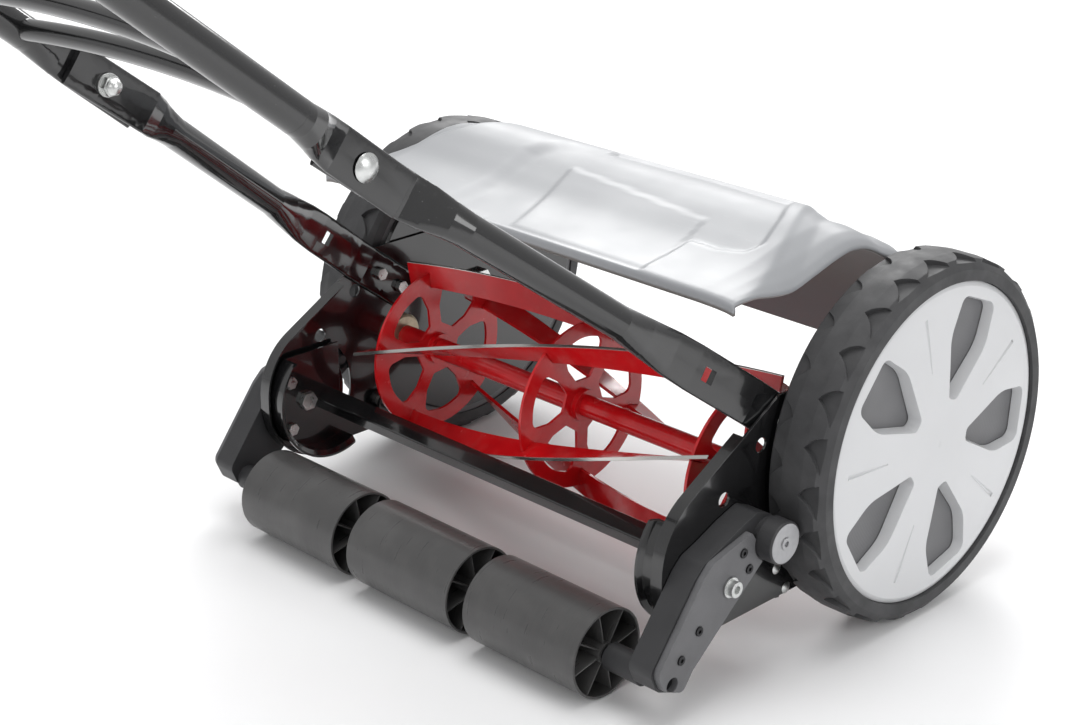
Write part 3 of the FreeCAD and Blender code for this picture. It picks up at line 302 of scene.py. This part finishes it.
    def lies_on_top(self, height_from, height_to):
        """Goes from 0 to 1 as the upward part of the surface's direction goes between two values."""
        geometry = self.nodes.new("ShaderNodeNewGeometry")
        split = self.nodes.new("ShaderNodeSeparateXYZ")
        self.links.new(geometry.outputs["Normal"], split.inputs[0])
        return self.map(split.outputs["Z"], height_from, height_to)

    def scratches(self, scale, stretch, low, amount, colour):
        """Thin pale marks where stretched noise peaks."""
        lines = self.map(self.noise(scale, 2.0, stretch), low, low + 0.04)
        patches = self.map(self.noise(scale * 0.06, 2.0), 0.45, 0.6)
        share = self.math("MULTIPLY", self.math("MULTIPLY", lines, patches), amount)
        self.mix_colour(share, colour)


def tyre_rubber():
    paint = Paint("tyre", (0.040, 0.040, 0.042), 0.55, specular=0.5)
    paint.soft_edges(0.0009)
    paint.speckle(60.0, 0.18)
    paint.uneven_gloss(45.0, 0.5, 0.72)
    dust = paint.math("MULTIPLY", paint.map(paint.noise(25.0, 6.0), 0.5, 0.75), 0.25)
    paint.mix_colour(dust, (0.12, 0.12, 0.12))
    paint.bump(paint.noise(900.0, 3.0), 0.00010, 0.6)
    return paint.material


def wheel_inner_plastic():
    paint = Paint("wheel_plastic", (0.15, 0.15, 0.155), 0.5)
    paint.soft_edges(0.0006)
    paint.speckle(30.0, 0.06)
    paint.uneven_gloss(20.0, 0.42, 0.6)
    rings = paint.math("SINE", paint.math("MULTIPLY", paint.from_axis(AXLE), 2600.0))
    paint.bump(rings, 0.00003, 0.5)
    paint.bump(paint.noise(1200.0, 2.0), 0.00003, 0.5)
    return paint.material


def cover_plastic():
    paint = Paint("white_plastic", (0.62, 0.625, 0.635), 0.34)
    paint.soft_edges(0.0008)
    paint.speckle(8.0, 0.03)
    paint.uneven_gloss(14.0, 0.32, 0.46)
    paint.bump(paint.noise(1500.0, 2.0), 0.00002, 0.5)
    return paint.material


def hood_plastic():
    paint = Paint("hood_plastic", (0.285, 0.292, 0.305), 0.38)
    paint.speckle(5.0, 0.03)
    paint.uneven_gloss(10.0, 0.34, 0.5)
    paint.scratches(60.0, (1, 9, 1), 0.66, 0.2, (0.36, 0.36, 0.37))
    # painted shade: faces that look downwards get a darker brownish grey, standing in for the shade under
    # the hood
    painted_shade_underside = paint.math("MULTIPLY", paint.lies_on_top(-0.05, -0.45), 0.75)
    paint.mix_colour(painted_shade_underside, (0.16, 0.135, 0.12))
    paint.bump(paint.noise(1400.0, 2.0), 0.00002, 0.4)
    return paint.material


def red_paint():
    """Gloss red, with the outer edges of the blades ground to bare steel."""
    paint = Paint("red_paint", (0.64, 0.006, 0.010), 0.2)
    paint.soft_edges(0.0005)
    paint.speckle(40.0, 0.10)
    paint.uneven_gloss(70.0, 0.14, 0.28)
    dust = paint.math("MULTIPLY", paint.map(paint.noise(55.0, 6.0), 0.52, 0.8), 0.12)
    paint.mix_colour(dust, (0.55, 0.25, 0.22))
    ground = paint.map(paint.from_axis(REEL), 0.0813, 0.0816)
    paint.mix_colour(ground, (0.60, 0.58, 0.56))
    paint.mix_roughness(ground, 0.24)
    paint.mix_metallic(ground, 1.0, 0.0)
    paint.bump(paint.noise(420.0, 2.0), 0.00006, 0.5)
    paint.surface.inputs["Coat Weight"].default_value = 0.35
    paint.surface.inputs["Coat Roughness"].default_value = 0.12
    return paint.material


def black_enamel(name, depth, low, high):
    """Gloss black powder coat: faint orange peel and a few grey specks painted in as glints of the coat's
    speckled highlights.
    """
    paint = Paint(name, (0.006, 0.006, 0.0065), 0.2, specular=0.62)
    paint.soft_edges(0.0006)
    paint.uneven_gloss(30.0, low, high)
    # painted highlight: small grey specks stand in for glints on the gloss coat
    painted_glints = paint.math("MULTIPLY", paint.map(paint.noise(700.0, 2.0), 0.71, 0.78), 0.4)
    paint.mix_colour(painted_glints, (0.22, 0.22, 0.22))
    haze = paint.math("MULTIPLY", paint.map(paint.noise(14.0, 6.0), 0.55, 0.8), 0.05)
    paint.mix_colour(haze, (0.16, 0.16, 0.17))
    paint.bump(paint.noise(160.0, 3.0), depth, 0.4)
    paint.surface.inputs["Coat Weight"].default_value = 0.7
    paint.surface.inputs["Coat Roughness"].default_value = 0.05
    return paint.material


def black_plastic(name, colour, rough_low, rough_high):
    paint = Paint(name, colour, 0.5)
    paint.soft_edges(0.0007)
    paint.speckle(35.0, 0.12)
    paint.uneven_gloss(25.0, rough_low, rough_high)
    paint.bump(paint.noise(1300.0, 3.0), 0.00006, 0.6)
    return paint.material


def roller_plastic():
    """Smooth black tube with fine rings from turning and soft dusty blotches."""
    paint = Paint("roller_plastic", (0.062, 0.061, 0.061), 0.34)
    paint.soft_edges(0.0004)
    paint.uneven_gloss(60.0, 0.26, 0.38, (4, 0.5, 0.5))
    blotches = paint.math("MULTIPLY", paint.map(paint.noise(22.0, 5.0), 0.45, 0.75), 0.35)
    paint.mix_colour(blotches, (0.15, 0.147, 0.145))
    rings = paint.map(paint.noise(300.0, 2.0, (5, 0.06, 0.06)), 0.4, 0.6)
    paint.mix_colour(paint.math("MULTIPLY", rings, 0.12), (0.11, 0.11, 0.105))
    paint.bump(rings, 0.00003, 0.4)
    return paint.material


def steel(name, colour, low, high, grain):
    paint = Paint(name, colour, 0.3, metallic=1.0)
    paint.soft_edges(0.0004)
    paint.speckle(120.0, 0.12)
    paint.uneven_gloss(160.0, low, high)
    paint.bump(paint.noise(600.0, 2.0, grain), 0.00003, 0.5)
    return paint.material


def brushed_cap():
    paint = Paint("brushed_cap", (0.42, 0.42, 0.43), 0.38, metallic=1.0)
    paint.soft_edges(0.0003)
    rings = paint.noise(2500.0, 2.0, (1, 0.15, 1))
    paint.uneven_gloss(300.0, 0.3, 0.5)
    paint.bump(rings, 0.00002, 0.5)
    paint.surface.inputs["Anisotropic"].default_value = 0.4
    return paint.material


def bearing_bronze():
    paint = Paint("bearing_bronze", (0.60, 0.52, 0.38), 0.4, metallic=0.7)
    paint.speckle(200.0, 0.15)
    paint.uneven_gloss(120.0, 0.3, 0.5)
    paint.bump(paint.noise(900.0, 2.0), 0.00004, 0.5)
    return paint.material


def foam():
    paint = Paint("foam", (0.018, 0.018, 0.019), 0.85)
    cells = paint.nodes.new("ShaderNodeTexVoronoi")
    cells.inputs["Scale"].default_value = 900.0
    paint.links.new(paint.where, cells.inputs["Vector"])
    paint.speckle(80.0, 0.2)
    paint.bump(cells.outputs["Distance"], 0.0004, 0.6)
    paint.surface.inputs["Sheen Weight"].default_value = 0.3
    return paint.material


MATERIALS = {
    "tyre": tyre_rubber(),
    "wheel_plastic": wheel_inner_plastic(),
    "white_plastic": cover_plastic(),
    "hood_plastic": hood_plastic(),
    "red_paint": red_paint(),
    "black_paint": black_enamel("black_paint", 0.00003, 0.12, 0.24),
    "handle_paint": black_enamel("handle_paint", 0.00002, 0.10, 0.2),
    "black_plastic": black_plastic("black_plastic", (0.030, 0.030, 0.032), 0.42, 0.6),
    "grey_plastic": black_plastic("grey_plastic", (0.115, 0.115, 0.12), 0.38, 0.52),
    "roller_plastic": roller_plastic(),
    "zinc_steel": steel("zinc_steel", (0.66, 0.67, 0.66), 0.22, 0.4, (1, 1, 1)),
    "bare_steel": steel("bare_steel", (0.55, 0.54, 0.53), 0.2, 0.36, (6, 1, 1)),
    "black_steel": steel("black_steel", (0.05, 0.05, 0.052), 0.3, 0.5, (1, 1, 1)),
    "brushed_cap": brushed_cap(),
    "bearing_bronze": bearing_bronze(),
    "foam": foam(),
}


def paint_cad_nodes():
    slots = {entry["node"]: entry["material_slot"] for entry in frame["record"]["subparts"]}
    for node, piece in frame["nodes"].items():
        piece.data.materials.clear()
        piece.data.materials.append(MATERIALS[slots[node]])


# ---------------------------------------------------------------- the moulded hood
HOOD_SPINE = [(-176, 299.8), (-150, 303), (-118, 308), (-90, 315), (-62, 322), (-40, 324.4), (-16, 320),
              (8, 308), (34, 288), (56, 262), (74, 230), (84, 198), (88, 172)]
HOOD_LIP = [(-182, 290.5), (-182, 294), (-182, 296.4), (-181.4, 298.0), (-180.0, 299.0)]
HOOD_HALF = 227.5
HOOD_COLUMNS = 190               # strips across the hood's width
HOOD_STEPS = 9                   # rows between two points of the spine
HOOD_THICKNESS = 2.8
SIDE_DROP = [(0, 0), (196, 0), (212, 2.5), (222, 6.5), (227.5, 12.5)]
# The hood's sections and outlines are in millimetres, measured from the wheel axle and the ground.
# The spine and the lip are (Y, Z) pairs; the outlines seen from above are (X, Y) pairs.
RIDGE = [(140, 34), (147, 14), (166, -29), (185.5, -72), (202.5, -111), (225.5, -159), (232, -190)]
RECESS = [(-103, -190), (-99, -122), (-108, -67), (-95, -31), (-60, -17), (-21, -10), (60, -8),
          (153, -17), (173, -57), (187, -97), (181, -114), (157, -121), (132, -120), (137, -190)]
PANEL = [(-10, -172), (-43, -70), (117, -86), (135, -172)]
RECESS_DEPTH = 3.4
PANEL_HEIGHT = 1.1
RIDGE_SLOPE = 0.30
RIDGE_FALL = 7.0
RIDGE_ROUNDING = 8.0
RECESS_SLOPE_LEFT = 26.0         # the recess has a long slope on its left and a short one elsewhere
RECESS_SLOPE = 7.0
LEFT_SLOPE_UP_TO = -40.0
PANEL_EDGE = 2.4
RELIEF_FADES_FROM = 285.0        # the relief fades out below this height
RELIEF_FADES_OVER = 25.0
LIP_DROP_SHARE = 0.2             # the sides drop less at the rear lip
LIP_Y = -182.0
LIP_FADES_OVER = 70.0


def smooth(value):
    value = min(max(value, 0.0), 1.0)
    return value * value * (3 - 2 * value)


def between(table, value):
    """The straight-line value of a table of pairs at a place."""
    for (low, first), (high, second) in zip(table, table[1:]):
        if value <= high:
            return first + (second - first) * (value - low) / (high - low)
    return table[-1][1]


def curve_through(points, steps):
    """Catmull-Rom points through the given ones."""
    fine = []
    last = len(points) - 1
    for index in range(last):
        p0 = Vector(points[max(index - 1, 0)])
        p1 = Vector(points[index])
        p2 = Vector(points[index + 1])
        p3 = Vector(points[min(index + 2, last)])
        for step in range(steps):
            t = step / steps
            fine.append(0.5 * (2 * p1 + (p2 - p0) * t + (2 * p0 - 5 * p1 + 4 * p2 - p3) * t * t
                               + (3 * p1 - p0 - 3 * p2 + p3) * t * t * t))
    fine.append(Vector(points[last]))
    return fine


def distance_to_line(spot, start, end):
    along = end - start
    share = min(max((spot - start).dot(along) / along.length_squared, 0.0), 1.0)
    return (spot - start - along * share).length


def depth_inside(spot, corners):
    """Distance in from the edge of a closed outline; negative outside it."""
    inside = False
    nearest = 1e9
    for index in range(len(corners)):
        start = Vector(corners[index - 1])
        end = Vector(corners[index])
        nearest = min(nearest, distance_to_line(spot, start, end))
        if (start.y > spot.y) != (end.y > spot.y):
            crossing = start.x + (end.x - start.x) * (spot.y - start.y) / (end.y - start.y)
            if spot.x < crossing:
                inside = not inside
    return nearest if inside else -nearest


def ridge_at(y):
    return between([(-y, x) for x, y in RIDGE], -y)


def hood_relief(x, y, z):
    """How far the moulded surface lies inside the hood's plain arch."""
    fade = smooth((z - RELIEF_FADES_FROM) / RELIEF_FADES_OVER)
    spot = Vector((x, y))
    width = RECESS_SLOPE_LEFT if x < LEFT_SLOPE_UP_TO else RECESS_SLOPE
    sunk = smooth(depth_inside(spot, RECESS) / width) * RECESS_DEPTH
    raised = smooth(depth_inside(spot, PANEL) / PANEL_EDGE + 0.5) * PANEL_HEIGHT
    outside_ridge = max(abs(x) - ridge_at(y), 0.0)
    fall = min(outside_ridge * RIDGE_SLOPE * smooth(outside_ridge / RIDGE_ROUNDING), RIDGE_FALL)
    return (sunk - raised + fall) * fade


def hood_points():
    path = [Vector(point) for point in HOOD_LIP] + curve_through(HOOD_SPINE, HOOD_STEPS)
    columns = [HOOD_HALF * (2 * index / HOOD_COLUMNS - 1) for index in range(HOOD_COLUMNS + 1)]
    rows = []
    last = len(path) - 1
    for index, spot in enumerate(path):
        way = (path[min(index + 1, last)] - path[max(index - 1, 0)]).normalized()
        inward = Vector((way.y, -way.x))
        drop_share = LIP_DROP_SHARE + (1 - LIP_DROP_SHARE) * smooth((spot.x - LIP_Y) / LIP_FADES_OVER)
        row = []
        for x in columns:
            inset = between(SIDE_DROP, abs(x)) * drop_share
            if index >= len(HOOD_LIP):
                inset += hood_relief(x, spot.x, spot.y)
            moved = spot + inward * inset
            if index < len(HOOD_LIP):
                moved = spot - Vector((0, between(SIDE_DROP, abs(x)) * drop_share))
            row.append(place(x, moved.x, moved.y))
        rows.append(row)
    return rows


def add_hood():
    """The hood with its moulded recess, raised panel and falling sides."""
    rows = hood_points()
    width = len(rows[0])
    vertices = [point for row in rows for point in row]
    faces = []
    for j in range(len(rows) - 1):
        for i in range(width - 1):
            first = j * width + i
            faces.append((first, first + width, first + width + 1, first + 1))
    mesh = bpy.data.meshes.new("hood_moulding")
    mesh.from_pydata(vertices, [], faces)
    mesh.update()
    piece = bpy.data.objects.new("hood_moulding", mesh)
    bpy.context.scene.collection.objects.link(piece)
    piece.data.materials.append(MATERIALS["hood_plastic"])
    for face in mesh.polygons:
        face.use_smooth = True
    thick = piece.modifiers.new("thickness", "SOLIDIFY")
    thick.thickness = HOOD_THICKNESS * MM
    up = mesh.polygons[len(faces) // 3].normal.z
    thick.offset = -1.0 if up > 0 else 1.0
    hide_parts("hood")
    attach(piece, "frame")


# ---------------------------------------------------------------- the knobs' springs
SPRING_SEAT = 0.252              # the bottom of the arm's pocket, which the spring pushes against


def add_spring(side, node):
    """A copy of the knob's spring, carried by the roller frame in place of the original."""
    original = frame["nodes"][node]
    piece = bpy.data.objects.new(node + "_coil", original.data.copy())
    bpy.context.scene.collection.objects.link(piece)
    piece.matrix_world = original.matrix_world.copy()
    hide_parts(node)
    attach(piece, "roller_frame")
    anchor = middle_of(node)
    anchor.x = side * SPRING_SEAT
    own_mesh(piece)


paint_cad_nodes()
add_hood()
add_spring(1, "knob_spring_r")
add_spring(-1, "knob_spring_l")
add_camera()
add_studio()
